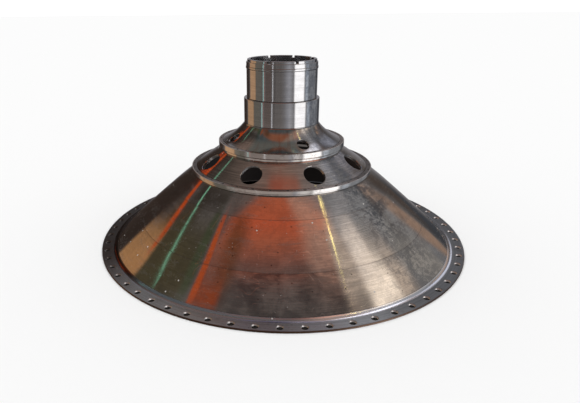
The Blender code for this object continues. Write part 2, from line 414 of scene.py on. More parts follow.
def finish_metal(at, colour, bare, rough, height, stretch, relief):
    """Set the shader: colour, share of bare metal, roughness and height vary, the rest is constant.

    stretch is how far the turning marks draw the highlights out down the profile, and
    relief the depth in metres that one unit of height stands for.
    """
    shader = at.made.node_tree.nodes["Principled BSDF"]
    bump = height.node("Bump", values={"Strength": 1.0, "Distance": relief, "Height": height})
    links = at.made.node_tree.links
    for socket, value in (("Base Color", colour), ("Metallic", bare), ("Roughness", rough), ("Normal", bump)):
        links.new(value.socket, shader.inputs[socket])
    shader.inputs["Anisotropic"].default_value = stretch
    shader.inputs["Anisotropic Rotation"].default_value = 0.25
    return at.made


def rim_metal():
    """Dull lathe-turned rim with a brown edge, painted highlights on its hole walls and fillet, and painted
    shade and reflections on its sides, underside and inner face.
    """
    at = metal("turned_rim", (0.0, flange_t), (1.0, 0.0))
    lines = lathe_lines(at, 0.0022, 1.5)
    broad = lathe_lines(at, 0.009, 1.5)
    grime = clouds(at, 0.03, 6.0, 0.6)
    grain = clouds(at, 0.003, 3.0)
    colour = lines.soft(0.3, 0.7).over((0.42, 0.45, 0.455), (0.57, 0.61, 0.62))
    colour = (broad.soft(0.52, 0.7) * 0.45).over(colour, (0.46, 0.43, 0.41))
    colour = (grime.soft(0.55, 0.7) * 0.4).over(colour, (0.30, 0.295, 0.29))
    # painted shade: the rim is darkened on its right side
    colour = at.angle.between(22.0, 150.0, 18.0).over(colour, (0.47, 0.455, 0.45), "MULTIPLY")
    colour = (grain.soft(0.5, 0.7) * 0.3).over(colour, (0.20, 0.19, 0.19))
    colour = specks(at, 0.012, 0.0009, 0.25).over(colour, (0.10, 0.07, 0.05))
    # painted highlight: the fillet is pale on the right; elsewhere its steeper part is painted with a dark
    # reflection, bluish from -50 to 170 degrees
    on_fillet = at.r.soft(fillet_centre[0] + 0.0006, fillet_centre[0] - 0.0012)
    fillet_highlight = at.angle.between(4.0, 84.0, 9.0)
    fillet_tone = fillet_highlight.over((0.42, 0.42, 0.46), (0.95, 0.95, 0.97))
    steep = at.r.soft(fillet_centre[0] - 0.0026, fillet_centre[0] - 0.0046) * (1.0 - fillet_highlight)
    fillet_blue_reflection = steep * at.angle.between(-50.0, 170.0, 6.0)
    fillet_tone = steep.over(fillet_tone, (0.10, 0.08, 0.07))
    fillet_tone = fillet_blue_reflection.over(fillet_tone, (0.21, 0.24, 0.27))
    colour = on_fillet.over(colour, fillet_tone)
    edge = at.r.soft(flange_r - 0.0010, flange_r - 0.0003)
    colour = edge.over(colour, (0.15, 0.095, 0.07))
    # painted shade: the underside and the inner face are painted near black
    inside = at.z.soft(0.0004, 0.0) + at.r.soft(0.2790, 0.2780)
    colour = inside.over(colour, (0.03, 0.026, 0.024))
    # painted highlight: the walls of the bolt holes are painted pale
    near_holes = at.r.between(bolt_circle_r - 0.0060, bolt_circle_r + 0.0060, 0.0003)
    lit_hole_walls = at.z.soft(flange_t, flange_t - 0.0004) * near_holes
    colour = lit_hole_walls.over(colour, (0.80, 0.76, 0.74))
    dust = 0.8 * specks(at, 0.017, 0.0012, 0.2)
    colour = dust.over(colour, (0.42, 0.40, 0.37))
    # painted dark reflection: the rim is near black on its left side
    colour = (0.92 * at.angle.between(-130.0, -56.0, 16.0)).over(colour, (0.06, 0.045, 0.035))
    rough = 0.36 - 0.20 * on_fillet + 0.10 * grime.soft(0.5, 0.7) + 0.3 * inside
    height = lines + 1.5 * broad + 0.5 * grime + 0.3 * grain
    return finish_metal(at, colour, 1.0 - dust - 0.25 * fillet_blue_reflection * on_fillet, rough, height, 0.7, 0.00003)


flange.data.materials.append(rim_metal())


# Main cone
# The cone's wall, rolled and welded up from three rings and then turned to one smooth
# slope. The welds show as fine lines round it.

upper_slope_start = (0.1485, 0.1218)
lower_seam = (lower_head_r, lower_head_z)
upper_seam = (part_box("main_cone_upper")[1].x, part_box("main_cone_middle")[1].z)
main_corners = [upper_slope_start, upper_seam, lower_seam, fillet_head[:2]]
main_names = ["main_cone_upper", "main_cone_middle", "main_cone_lower"]
smooth_round = np.linspace(0, 2 * math.pi, 481)
weld_dip = 0.00025
seam_gap = 0.00004


def wall_ring(name, head, foot, wall):
    """A conical ring: its section is the run from head to foot and the same run inside.

    Shrinking welds draw the ring's ends in, so that its outer face bows: at a share s of
    the run it lies dip (1 - 4 s (1 - s)) below the straight line.
    """
    run = np.subtract(foot, head) / math.dist(foot, head)
    into = np.array([run[1], -run[0]])
    head = np.array(head)
    foot = np.array(foot) - run * seam_gap
    bow = [(*(head + (foot - head) * s + into * weld_dip * (1 - 4 * s * (1 - s))), 0)
           for s in np.linspace(0, 1, 17)[1:-1]]
    middle = (head + foot) / 2 + into * wall
    corners = [
        (*middle, 0), (*(head + into * wall), 0.0003), (*(head + into * weld_dip), 0.0001), *bow,
        (*(foot + into * weld_dip), 0.0001), (*(foot + into * wall), 0.0003), (*middle, 0)]
    return piece(name, [turned(eased(corners), smooth_round)])


main_cones = []
for name, head, foot in zip(main_names, main_corners[:-1], main_corners[1:]):
    ring = wall_ring(name + "_skin", head, foot, main_wall)
    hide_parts(name)
    main_cones.append(ring)


def cone_metal(name, head, foot, warm_strength, dark_strength, handled):
    """Fine turned and bright: painted warm and dark reflections at the front, finger marks,
    dust and pits, and painted shade on the inner face.

    The three functions give, for the share of the way down the ring, how strong the front's
    painted warm and dark reflections and the right side's marks are.
    """
    length = math.dist(head, foot)
    at = metal(name, head, np.subtract(foot, head) / length)
    down = at.along / length
    lines = lathe_lines(at, 0.0014, 4.0)
    fine = lathe_lines(at, 0.0007, 7.0)
    patch = clouds(at, 0.05, 6.0, 0.9)
    small = clouds(at, 0.008, 6.0, 0.5)
    grain = clouds(at, 0.0025, 3.0)
    smear = smears(at, 0.012, 3.0)
    brushed = (lines * 0.4 + fine * 0.6).soft(0.32, 0.68)
    # painted light: the turning lines are drawn stronger on the front right, where light rakes across them
    raked = 0.35 + 0.45 * at.angle.between(-2.0, 44.0, 14.0)
    colour = (0.5 + (brushed - 0.5) * raked).over((0.38, 0.355, 0.335), (0.68, 0.645, 0.615))
    # painted warm reflection across the front, strongest where warm_strength says
    warm_reflection = at.angle.between(-27.5, 20.0, 2.0) * warm_strength(down) * (0.7 + 0.6 * smear)
    colour = warm_reflection.over(colour, (0.66, 0.45, 0.37))
    # painted dark reflection in patches at the front
    dark_reflection = at.angle.between(-17.0, 22.0, 7.0) * dark_strength(down) * (patch * 0.6 + smear * 0.4).soft(0.40, 0.58)
    colour = dark_reflection.over(colour, (0.17, 0.165, 0.17))
    fingers = at.angle.between(36.0, 60.0, 8.0) * handled(down)
    marks = (patch * 0.45 + small * 0.35 + grain * 0.2).soft(0.44, 0.55)
    colour = ((0.2 + 0.7 * fingers) * marks).over(colour, (0.18, 0.185, 0.20))
    wiped = 0.5 * smear.soft(0.5, 0.7)
    colour = wiped.over(colour, (0.36, 0.335, 0.315))
    seam_line = at.along.soft(0.0012, 0.0003) + down.soft(1 - 0.0012 / length, 1.0)
    colour = (0.3 * seam_line).over(colour, (0.12, 0.09, 0.08))
    pits = specks(at, 0.009, 0.0009, 0.16)
    colour = pits.over(colour, (0.05, 0.04, 0.035))
    scratch = hairlines(at, 0.05, 0.005)
    colour = (0.4 * scratch).over(colour, (0.80, 0.78, 0.75))
    dust = 0.85 * specks(at, 0.019, 0.0013, 0.45)
    fluff = 0.7 * specks(at, 0.008, 0.0006, 0.5)
    haze = 0.10 * fingers * (1.0 - marks) + 0.05 * smear.soft(0.5, 0.7)
    colour = (dust + fluff).over(colour, (0.50, 0.47, 0.44))
    # painted shade: the inner face is painted near black
    inside = at.deep.soft(main_wall * 0.6, main_wall * 0.85)
    colour = inside.over(colour, (0.03, 0.026, 0.024))
    rough = 0.062 + 0.11 * marks * (0.1 + fingers) + 0.03 * brushed + 0.05 * wiped + 0.3 * dust + 0.4 * inside
    height = 0.5 * brushed * raked + 0.2 * patch + 0.6 * small * fingers - 2.0 * pits - 1.5 * scratch
    return finish_metal(at, colour, 1.0 - dust - 0.5 * fluff - haze, rough, height, 1.0, 0.00001)


# For each ring, as functions of the share down it: how strong the painted warm reflection and the painted
# dark reflection at the front are, and how strong the right side's marks are.
cone_finishes = {
    "main_cone_upper": (
        lambda down: 0.2 + 0.3 * down, lambda down: 0.1 * down, lambda down: 0.9 - 0.3 * down),
    "main_cone_middle": (
        lambda down: 0.9 * down.soft(0.5, 0.0), lambda down: 0.35 * down, lambda down: down.soft(1.2, 0.2)),
    "main_cone_lower": (
        lambda down: 0.1 * down, lambda down: 1.0 - 0.4 * down, lambda down: 0.55 - 0.2 * down),
}
for ring, name, head, foot in zip(main_cones, main_names, main_corners[:-1], main_corners[1:]):
    ring.data.materials.append(cone_metal(name + "_metal", head, foot, *cone_finishes[name]))


# Balance ledges
# Two flat-topped steps left standing when the cone was turned. Small threaded holes in
# their tops take balance weights. An undercut runs below each rim.


def blind_row(top_z, low, high, centres, half, steps, between, at, radius, depth, chamfer):
    """Patches for a flat top with a row of blind holes: the face, the bores, the drill points."""
    _, _, turn = rim_of_cell(steps)
    pitch = centres[1] - centres[0]
    beside = np.linspace(half, pitch - half, between + 1)[:, None]
    band = np.linspace(low, high, steps + 1)[None, :]
    patches = []
    top = straight((0.0, top_z), (1.0, top_z))
    centre = (at, top_z)
    run = (1.0, 0.0)
    edge = mouth(top, at, centre, run, radius + chamfer, turn)
    patches.append(placed(top, *cell(top, edge, low, high, half, steps, 4), centres))
    patches.append(placed(top, band + 0 * beside, beside + 0 * band, centres))
    loops = [placed(top, *edge, centres)]
    for size, down in ((radius, chamfer), (radius, depth), (1e-7, depth + 0.6 * radius)):
        level = straight((0.0, top_z - down), (1.0, top_z - down))
        loops.append(placed(level, *mouth(level, at, centre, run, size, turn), centres))
    patches.append(np.stack(loops, axis=2))
    return patches


ledge_ease = 0.0004
ledge_hole_r = 0.0013
ledge_hole_depth = 0.0038

lower_rim_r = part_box("lower_balance_ledge")[1].x
lower_top_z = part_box("lower_balance_ledge")[1].z
lower_thick = 0.0052
lower_undercut = 0.0012
middle_foot_r = 0.1428
middle_head = (0.1012, 0.1582)
middle_wall = 0.0055
upper_rim_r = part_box("upper_balance_ledge")[1].x
upper_top_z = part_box("upper_balance_ledge")[1].z
upper_thick = 0.0082
upper_undercut = 0.0022
flare_foot_r = 0.0980
flare_wall = 0.0055
flare_foot_slope = math.radians(20.5)


def into_wall(head, foot, wall, at):
    """The inner point of a wall, square to the run from head to foot, opposite a point."""
    run = np.subtract(foot, head) / math.dist(foot, head)
    return at[0] + run[1] * wall, at[1] - run[0] * wall


def ledge(name, top, rim_r, thick, undercut, inner_head, foot, foot_inner, holes):
    """A ledge: a flat top with blind holes, an eased rim, and a rounded undercut below."""
    count, hole_circle, phase, half, steps, between = holes
    top_r, top_z = top
    low = hole_circle - 0.0022
    high = hole_circle + 0.0022
    centres = directions(count, phase)
    angles = columns(centres, half, steps, between)
    under = top_z - thick
    hollow = arc((foot[0] + undercut, under - undercut), undercut, math.pi, math.pi / 2, 6)
    inside = eased([
        (low, top_z, 0), (top_r, top_z, 0.0002), (*inner_head, 0.0003), (*foot_inner, 0.0003),
        (*foot, 0.0002), *hollow, (rim_r, under, ledge_ease), (rim_r, top_z, ledge_ease),
        (high, top_z, 0)])
    return piece(name, [
        turned(inside, angles),
        *blind_row(top_z, low, high, centres, half, steps, between, hole_circle,
                   ledge_hole_r, ledge_hole_depth, 0.0002)])


lower_holes = (36, 0.1470, math.radians(2.43), math.radians(2.0), 6, 6)
upper_holes = (15, 0.1008, math.radians(4.59), math.radians(2.4), 6, 14)
main_head = (upper_slope_start[0], upper_slope_start[1] + seam)
middle_foot = (middle_foot_r, lower_top_z)
lower_ledge = ledge(
    "lower_ledge_ring", middle_foot, lower_rim_r, lower_thick, lower_undercut,
    into_wall(middle_head, middle_foot, middle_wall, middle_foot), main_head,
    into_wall(upper_slope_start, upper_seam, main_wall, main_head), lower_holes)
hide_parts("lower_balance_ledge")

flare_foot = (flare_foot_r, upper_top_z)
flare_run_end = (flare_foot_r + math.cos(flare_foot_slope), upper_top_z - math.sin(flare_foot_slope))
flare_inner_foot = into_wall(flare_foot, flare_run_end, flare_wall, flare_foot)
upper_foot = (middle_head[0], middle_head[1] + seam)
upper_ledge = ledge(
    "upper_ledge_ring", flare_foot, upper_rim_r, upper_thick, upper_undercut,
    flare_inner_foot, upper_foot, into_wall(middle_head, middle_foot, middle_wall, upper_foot),
    upper_holes)
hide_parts("upper_balance_ledge")


def ledge_metal(name, top_z, rim_r, wall_r, holes, side_shade):
    """Bright turned rims with brown tops, painted shade on the tops towards both sides, and painted shade in
    the holes and undercuts.
    """
    count, hole_circle, phase = holes
    at = metal(name, (0.0, top_z), (1.0, 0.0))
    lines = lathe_lines(at, 0.0016)
    patch = clouds(at, 0.02, 6.0, 0.8)
    grain = clouds(at, 0.003, 4.0)
    on_top = at.deep.soft(0.0005, 0.0002) * at.r.soft(rim_r - 0.0006, rim_r - 0.0018)
    colour = lines.soft(0.3, 0.7).over((0.58, 0.56, 0.545), (0.78, 0.765, 0.75))
    colour = (0.5 * (patch * 0.6 + grain * 0.4).soft(0.5, 0.62)).over(colour, (0.36, 0.33, 0.31))
    colour = (on_top * (0.6 + 0.4 * patch)).over(colour, (0.44, 0.385, 0.36))
    # painted shade: the tops darken towards both sides
    colour = (on_top * side_shade * abs(at.angle).soft(26.0, 62.0)).over(colour, (0.06, 0.048, 0.042))
    half_pitch = 180.0 / count
    beside = at.angle.math("WRAP", at.angle - math.degrees(phase), half_pitch, -half_pitch)
    across = beside * math.radians(1) * at.r
    out = at.r - hole_circle
    # painted shade: the holes and a thin ring round them are painted near black
    hole_shade = ((out * out + across * across) ** 0.5).soft(ledge_hole_r * 1.9, ledge_hole_r * 1.4)
    hole_shade = hole_shade * at.deep.soft(0.0050, 0.0046)
    # painted shade: the undercut below the rim is painted near black
    inside = at.r.soft(wall_r + 0.001, wall_r) * at.deep.soft(0.0005, 0.002)
    colour = (inside + hole_shade).over(colour, (0.025, 0.021, 0.019))
    dust = 0.8 * specks(at, 0.013, 0.0010, 0.25)
    colour = dust.over(colour, (0.50, 0.47, 0.44))
    rough = 0.11 + 0.20 * on_top + 0.10 * patch.soft(0.5, 0.7) + 0.04 * lines + 0.3 * dust
    height = lines + 0.6 * patch
    return finish_metal(at, colour, 1.0 - dust - 0.9 * hole_shade, rough, height, 0.7, 0.00002)


# each row: ring, top height, rim radius, wall radius, holes, and how strong the painted shade at the tops'
# sides is
ledges = (
    (lower_ledge, lower_top_z, lower_rim_r, middle_foot_r, lower_holes[:3], 0.9),
    (upper_ledge, upper_top_z, upper_rim_r, flare_foot_r, upper_holes[:3], 0.7))
for ring, top_z, rim_r, wall_r, holes, side_shade in ledges:
    look = ledge_metal(ring.name + "_metal", top_z, rim_r, wall_r - 0.003, holes, side_shade)
    ring.data.materials.append(look)


# Middle cone
# The steeper ring between the ledges, with eight round vents bored through it at a slant
# and their edges broken by a small chamfer.

vent_r = 0.0165
vent_circle_r = 0.1238
vent_tilt = math.radians(40.0)
vent_chamfer = 0.0005
vent_phase = math.radians(22.5)

middle_run = np.subtract(middle_foot, middle_head) / math.dist(middle_foot, middle_head)
middle_length = math.dist(middle_foot, middle_head) - seam
middle_outer = straight(middle_head, middle_foot)
middle_inner = sunk(middle_outer, middle_wall)
vent_at = (vent_circle_r - middle_head[0]) / middle_run[0]
vent_centre = middle_outer(vent_at)
vent_run = np.array([math.sin(vent_tilt), -math.cos(vent_tilt)])
vent_low = 0.0012
vent_high = middle_length - 0.0012
vent_centres = directions(8, vent_phase)
vent_half = math.radians(13.0)
vent_angles = columns(vent_centres, vent_half, 24, 18)


def end_of_wall(outer, inner, at, edge_at):
    """The edge of a wall: from the outer face round its end at a distance to the inner face."""
    a, b = outer(edge_at), outer(at)
    c, d = inner(at), inner(edge_at)
    return eased([(*a, 0), (*b, 0.0003), (*c, 0.0003), (*d, 0)])


middle_patches = [
    turned(end_of_wall(middle_outer, middle_inner, 0.0, vent_low), vent_angles),
    turned(end_of_wall(middle_outer, middle_inner, middle_length, vent_high), vent_angles),
    *bored(middle_outer, middle_inner, vent_low, vent_high, vent_centres, vent_half, 24, 18,
           (vent_centre, vent_run, vent_r, vent_chamfer, vent_at), layers=10)]
middle_skin = piece("middle_cone_skin", middle_patches)
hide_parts("middle_cone")


def vented_metal():
    """Fine turned, browned at the front and smeared grey on the right, with painted shade in its vents and on
    its inner face.
    """
    at = metal("middle_cone_metal", middle_head, middle_run)
    down = at.along / middle_length
    lines = lathe_lines(at, 0.0022)
    patch = clouds(at, 0.03, 6.0, 0.9)
    small = clouds(at, 0.006, 6.0, 0.5)
    smear = smears(at, 0.009, 3.0)
    colour = lines.soft(0.3, 0.7).over((0.42, 0.395, 0.375), (0.64, 0.605, 0.58))
    blush = at.angle.between(-9.0, 10.0, 3.0) * down.soft(0.3, 0.75) * (0.4 + smear)
    colour = blush.over(colour, (0.70, 0.36, 0.28))
    fingers = at.angle.between(33.0, 75.0, 7.0)
    marks = (patch * 0.55 + small * 0.45).soft(0.40, 0.57)
    colour = ((0.2 + 0.6 * fingers) * marks).over(colour, (0.22, 0.23, 0.25))
    wiped = 0.4 * smear.soft(0.55, 0.75)
    colour = wiped.over(colour, (0.38, 0.35, 0.33))
    rust = at.along.soft(0.0024, 0.0016) * at.angle.between(-26.0, 40.0, 6.0)
    colour = (0.7 * rust).over(colour, (0.72, 0.27, 0.14))
    colour = (0.6 * hairlines(at, 0.03, 0.006)).over(colour, (0.75, 0.73, 0.70))
    dust = 0.9 * specks(at, 0.016, 0.0011, 0.4)
    colour = dust.over(colour, (0.50, 0.47, 0.44))
    # painted shade: the vents' bores are darkened and the inner face is near black
    bore = at.deep.soft(0.0006, 0.0022)
    colour = (0.6 * bore).over(colour, (0.25, 0.23, 0.22))
    inside = at.deep.soft(middle_wall * 0.7, middle_wall * 0.95)
    colour = inside.over(colour, (0.02, 0.018, 0.016))
    rough = 0.09 + 0.10 * marks * (0.2 + fingers) + 0.03 * lines + 0.3 * dust + 0.12 * bore + 0.35 * inside
    height = lines + 0.5 * patch + 0.5 * small * fingers
    return finish_metal(at, colour, 1.0 - dust - 0.06 * wiped, rough, height, 1.0, 0.00002)


middle_skin.data.materials.append(vented_metal())


# Flared cone
# The concave sweep from the upper ledge into the neck, which it meets in a small fillet,
# with four smaller drain holes bored through it at a slant.

flare_radius = 0.0800
flare_bore_depth = 0.0115
neck_fillet_r = 0.0040
collar_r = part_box("neck_collar")[1].x
bore_r = 0.0505
drain_r = 0.00925
drain_circle_r = 0.0825
drain_tilt = math.radians(35.0)
drain_chamfer = 0.0005

flare_centre = (
    flare_foot[0] + flare_radius * math.sin(flare_foot_slope),
    flare_foot[1] + flare_radius * math.cos(flare_foot_slope))
neck_fillet_at = collar_r + neck_fillet_r
flare_head_slope = math.asin((flare_centre[0] - neck_fillet_at) / (flare_radius - neck_fillet_r))
flare_head_angle = -math.pi / 2 - flare_head_slope
flare_length = flare_radius * (flare_head_slope - flare_foot_slope)
flare_head = (
    flare_centre[0] + flare_radius * math.cos(flare_head_angle),
    flare_centre[1] + flare_radius * math.sin(flare_head_angle))
neck_fillet_z = flare_centre[1] - (flare_radius - neck_fillet_r) * math.cos(flare_head_slope)
neck_fillet = arc((neck_fillet_at, neck_fillet_z), neck_fillet_r, flare_head_angle, -math.pi, 8)
flare_throat = (bore_r, neck_fillet_z - flare_bore_depth)


def flare_outer(along):
    """The flare's arc, from its head down: (radius, height) at a distance along it."""
    turn = flare_head_angle + along / flare_radius
    return flare_centre[0] + flare_radius * np.cos(turn), flare_centre[1] + flare_radius * np.sin(turn)


def flare_inner(along):
    """The straight inner face, with its distances stretched to run from 0 to the arc's length."""
    share = along / flare_length
    return (flare_throat[0] + (flare_inner_foot[0] - flare_throat[0]) * share,
            flare_throat[1] + (flare_inner_foot[1] - flare_throat[1]) * share)


drain_slope = math.asin((flare_centre[0] - drain_circle_r) / flare_radius)
drain_at = flare_radius * (flare_head_slope - drain_slope)
drain_centre = flare_outer(drain_at)
drain_run = np.array([math.sin(drain_tilt), -math.cos(drain_tilt)])
drain_centres = directions(4, vent_phase)
drain_half = math.radians(14.0)
drain_low = drain_at - 0.0160
drain_high = drain_at + 0.0130
flare_angles = columns(drain_centres, drain_half, 24, 48)
flare_foot_at = flare_length - seam


def flare_side(from_at, to_at, steps):
    """A stretch of the flare's outer arc as profile points with ease 0."""
    return [(*flare_outer(at), 0) for at in np.linspace(from_at, to_at, steps + 1)]


head_profile = eased([
    *flare_side(drain_low, 0.0, 8)[:-1], *neck_fillet[:-1], (collar_r, neck_fillet_z, 0.0001),
    (bore_r, neck_fillet_z, 0.0003), (*flare_throat, 0.0003), (*flare_inner(drain_low), 0)])
foot_profile = eased([
    *flare_side(drain_high, flare_foot_at, 8)[:-1], (*flare_outer(flare_foot_at), 0.0002),
    (*flare_inner(flare_foot_at), 0.0003), (*flare_inner(drain_high), 0)])
flare_skin = piece("flare_cone_skin", [
    turned(head_profile, flare_angles), turned(foot_profile, flare_angles),
    *bored(flare_outer, flare_inner, drain_low, drain_high, drain_centres, drain_half, 24, 48,
           (drain_centre, drain_run, drain_r, drain_chamfer, drain_at), layers=10)])
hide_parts("flare_cone")


def flare_metal():
    """Polished flare with a bluish film at the front, painted reflection streaks, and painted shade low on
    its right side and in its bores.
    """
    span = np.subtract(flare_foot, flare_head)
    at = metal("flare_metal", flare_head, span / np.linalg.norm(span))
    out = at.r - flare_centre[0]
    up = at.z - flare_centre[1]
    deep = (out * out + up * up) ** 0.5 - flare_radius
    lines = lathe_lines(at, 0.0020)
    patch = clouds(at, 0.022, 6.0, 0.9)
    small = clouds(at, 0.005, 6.0, 0.5)
    colour = lines.soft(0.3, 0.7).over((0.44, 0.42, 0.405), (0.62, 0.60, 0.585))
    # painted reflection: streaks drawn down the profile, darker and bluer in places
    reflection_streaks = at.spot.node("CombineXYZ", values={0: at.sine * 14, 1: at.cosine * 14, 2: at.along / 0.05})
    reflection_streaks = reflection_streaks.node("TexNoise", values={"Vector": reflection_streaks, "Scale": 1.0, "Detail": 3.0, "Roughness": 0.6})
    film = at.angle.between(-34.0, 15.0, 4.0)
    colour = ((0.6 + 0.5 * reflection_streaks) * film).over(colour, (0.27, 0.42, 0.46))
    colour = (0.5 * reflection_streaks.soft(0.5, 0.62)).over(colour, (0.30, 0.27, 0.25))
    rust = at.z.between(neck_fillet_z - 0.0018, neck_fillet_z - 0.0004, 0.0003)
    colour = (0.8 * rust * at.angle.between(-30.0, 19.0, 3.0)).over(colour, (0.75, 0.25, 0.12))
    fingers = at.angle.between(30.0, 95.0, 8.0)
    marks = (patch * 0.55 + small * 0.45).soft(0.40, 0.57)
    colour = ((0.2 + 0.6 * fingers) * marks).over(colour, (0.22, 0.225, 0.24))
    shade = at.angle.between(33.0, 80.0, 6.0) * at.z.soft(flare_foot[1] + 0.018, flare_foot[1] + 0.006)
    colour = (0.6 * shade).over(colour, (0.20, 0.20, 0.21))
    colour = (0.6 * hairlines(at, 0.02, 0.008)).over(colour, (0.75, 0.73, 0.70))
    dust = 0.9 * specks(at, 0.013, 0.0010, 0.22)
    colour = dust.over(colour, (0.50, 0.47, 0.44))
    # painted shade: the drain holes' bores are painted dark
    bore = deep.soft(0.0006, 0.0020)
    colour = (0.9 * bore).over(colour, (0.06, 0.05, 0.045))
    rough = 0.07 + 0.10 * marks * (0.15 + fingers) + 0.03 * lines + 0.3 * dust + 0.2 * bore
    height = lines + 0.5 * patch + 0.5 * small * fingers
    return finish_metal(at, colour, 1.0 - dust, rough, height, 1.0, 0.000015)


flare_skin.data.materials.append(flare_metal())


# Neck
# The ground journal that carries the bearing: a thicker collar below and the polished
# tube above it, both with the same bore.


def sleeve(name, low_z, high_z, radius, ease):
    """A plain sleeve on the bore, with its outer edges eased."""
    middle = (low_z + high_z) / 2
    return piece(name, [turned(eased([
        (radius, middle, 0), (radius, high_z, ease), (bore_r, high_z, 0.0003),
        (bore_r, low_z, 0.0003), (radius, low_z, 0.0002), (radius, middle, 0)]), smooth_round)])


def journal_metal():
    """Ground and polished journal: close fine rings, handling stains on the right."""
    at = metal("journal_metal", (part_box("neck_collar")[1].x, 0.0), (0.0, -1.0))
    lines = lathe_lines(at, 0.0013, 1.0)
    broad = lathe_lines(at, 0.006, 1.5)
    patch = clouds(at, 0.016, 6.0, 1.2)
    small = clouds(at, 0.004, 6.0, 0.5)
    colour = (lines * 0.6 + broad * 0.4).soft(0.3, 0.7).over((0.53, 0.525, 0.525), (0.67, 0.67, 0.675))
    fingers = at.angle.between(38.0, 90.0, 4.0)
    marks = (patch * 0.5 + small * 0.5).soft(0.42, 0.58)
    colour = ((0.12 + 0.55 * fingers) * marks).over(colour, (0.24, 0.26, 0.30))
    colour = (0.5 * hairlines(at, 0.02, 0.006)).over(colour, (0.80, 0.79, 0.78))
    dust = 0.9 * specks(at, 0.012, 0.0009, 0.12)
    colour = dust.over(colour, (0.50, 0.47, 0.44))
    # painted shade: the bore's inner face is darkened
    inside = at.r.soft(0.0520, 0.0508)
    colour = (0.5 * inside).over(colour, (0.34, 0.35, 0.38))
    rough = 0.095 + 0.08 * marks * (0.2 + fingers) + 0.03 * lines + 0.3 * dust + 0.08 * inside
    height = lines + 0.8 * broad + 0.6 * patch + 0.6 * small * fingers
    return finish_metal(at, colour, 1.0 - dust, rough, height, 0.8, 0.000012)


journal = journal_metal()
for name, ease in (("neck_collar", 0.0008), ("neck_tube", 0.0002)):
    low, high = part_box(name)
    part = sleeve(name + "_skin", low.z, high.z, high.x, ease)
    part.data.materials.append(journal)
    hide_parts(name)


# Slotted end ring
# The neck's end: a groove and a bead, a plain band, and a thinner lip with eight slots
# milled across it for a lock ring.

end_low, end_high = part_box("slotted_end_ring")
groove_r = 0.0562
bead_foot_z = 0.2863
bead_top_z = 0.2895
ring_r = 0.0573
shoulder_z = 0.2964
lip_r = 0.0556
slot_half_width = 0.0026
slot_centres = directions(8, vent_phase)


def slotted_turns(radius, rows, inside):
    """Angles from a slot's middle: inside the slot, or from its wall to the next slot's.

    A slot has parallel walls, so its half angle is asin(half width / radius).
    """
    wall = np.arcsin(slot_half_width / np.asarray(radius))
    share = np.linspace(0, 1, rows)[:, None]
    if inside:
        return (2 * share - 1) * wall[None, :]
    return wall[None, :] * (1 - share) + (math.pi / 4 - wall[None, :]) * share


def slotted(profile, rows, inside):
    """The grid of a profile over all slots, or over all teeth between them."""
    r, z = np.asarray(profile).T
    return placed(lambda _: (r, z), None, slotted_turns(r, rows, inside), slot_centres)


ring_body = eased([
    (lip_r, shoulder_z, 0), (ring_r, shoulder_z, 0.0006), (ring_r, bead_top_z, 0.0003),
    (end_high.x, bead_top_z, 0.0006), (end_high.x, bead_foot_z, 0.0003), (groove_r, bead_foot_z, 0.0002),
    (groove_r, end_low.z, 0.0002), (bore_r, end_low.z, 0.0003), (bore_r, shoulder_z, 0)])[::-1]
lip_profile = eased([
    (bore_r, shoulder_z, 0), (bore_r, end_high.z, 0.0005),
    (lip_r, end_high.z, 0.0006), (lip_r, shoulder_z, 0)])
slot_floor = np.array([(bore_r, shoulder_z), (lip_r, shoulder_z)])
tooth_rows = 41
slot_rows = 9
walls = []
for side in (0, -1):
    ends = slotted(lip_profile, tooth_rows, False)[:, side]
    walls += list(ends)
end_ring = piece("slotted_end_ring_skin", [
    slotted(ring_body, tooth_rows, False), slotted(ring_body, slot_rows, True),
    slotted(lip_profile, tooth_rows, False), slotted(slot_floor, slot_rows, True)], walls)
end_ring.data.materials.append(journal)
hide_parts("slotted_end_ring")


# Studio
# A white floor and white surroundings, as the camera and the floor see them, with a dark
# disc of painted shade on the floor under the part, so that its holes look into the dark.
# The metal sees a dim warm room instead, with soft cards and strips hung round it.

floor_mesh = bpy.data.meshes.new("floor")
floor_half = 20.0
floor_mesh.from_pydata(
    [(-floor_half, -floor_half, 0), (floor_half, -floor_half, 0),
     (floor_half, floor_half, 0), (-floor_half, floor_half, 0)], [], [(0, 1, 2, 3)])
floor = bpy.data.objects.new("floor", floor_mesh)
bpy.context.scene.collection.objects.link(floor)
shade_disc_r = flange_r - 0.004
floor_paint = bpy.data.materials.new("pale_floor")
floor_paint.use_nodes = True
floor_shader = floor_paint.node_tree.nodes["Principled BSDF"]
place = Tone(floor_paint.node_tree).node("TexCoord", out="Object")
place = place.node("VectorMath", {"operation": "LENGTH"}, {0: place}, out="Value")
# painted shade: the floor is near black under the part
paint = place.soft(shade_disc_r, shade_disc_r - 0.002).over((0.87, 0.87, 0.87), (0.02, 0.018, 0.017))
floor_paint.node_tree.links.new(paint.socket, floor_shader.inputs["Base Color"])
floor_shader.inputs["Roughness"].default_value = 0.8
floor_shader.inputs["Specular IOR Level"].default_value = 0.0
floor_mesh.materials.append(floor_paint)
floor.visible_glossy = False

world = bpy.data.worlds.new("studio")
bpy.context.scene.world = world
world.use_nodes = True
world.cycles.sampling_method = "NONE"
sky = world.node_tree.nodes["Background"]
gaze = Tone(world.node_tree).node("TexCoord", out="Generated")
gaze_x = gaze.node("SeparateXYZ", values={0: gaze})
gaze_y = gaze_x.also("Y")
gaze_z = gaze_x.also("Z")
bearing = gaze_x.math("ARCTAN2", gaze_x, gaze_y * -1) * math.degrees(1)
height = gaze_z.math("ARCSINE", gaze_z) * math.degrees(1)


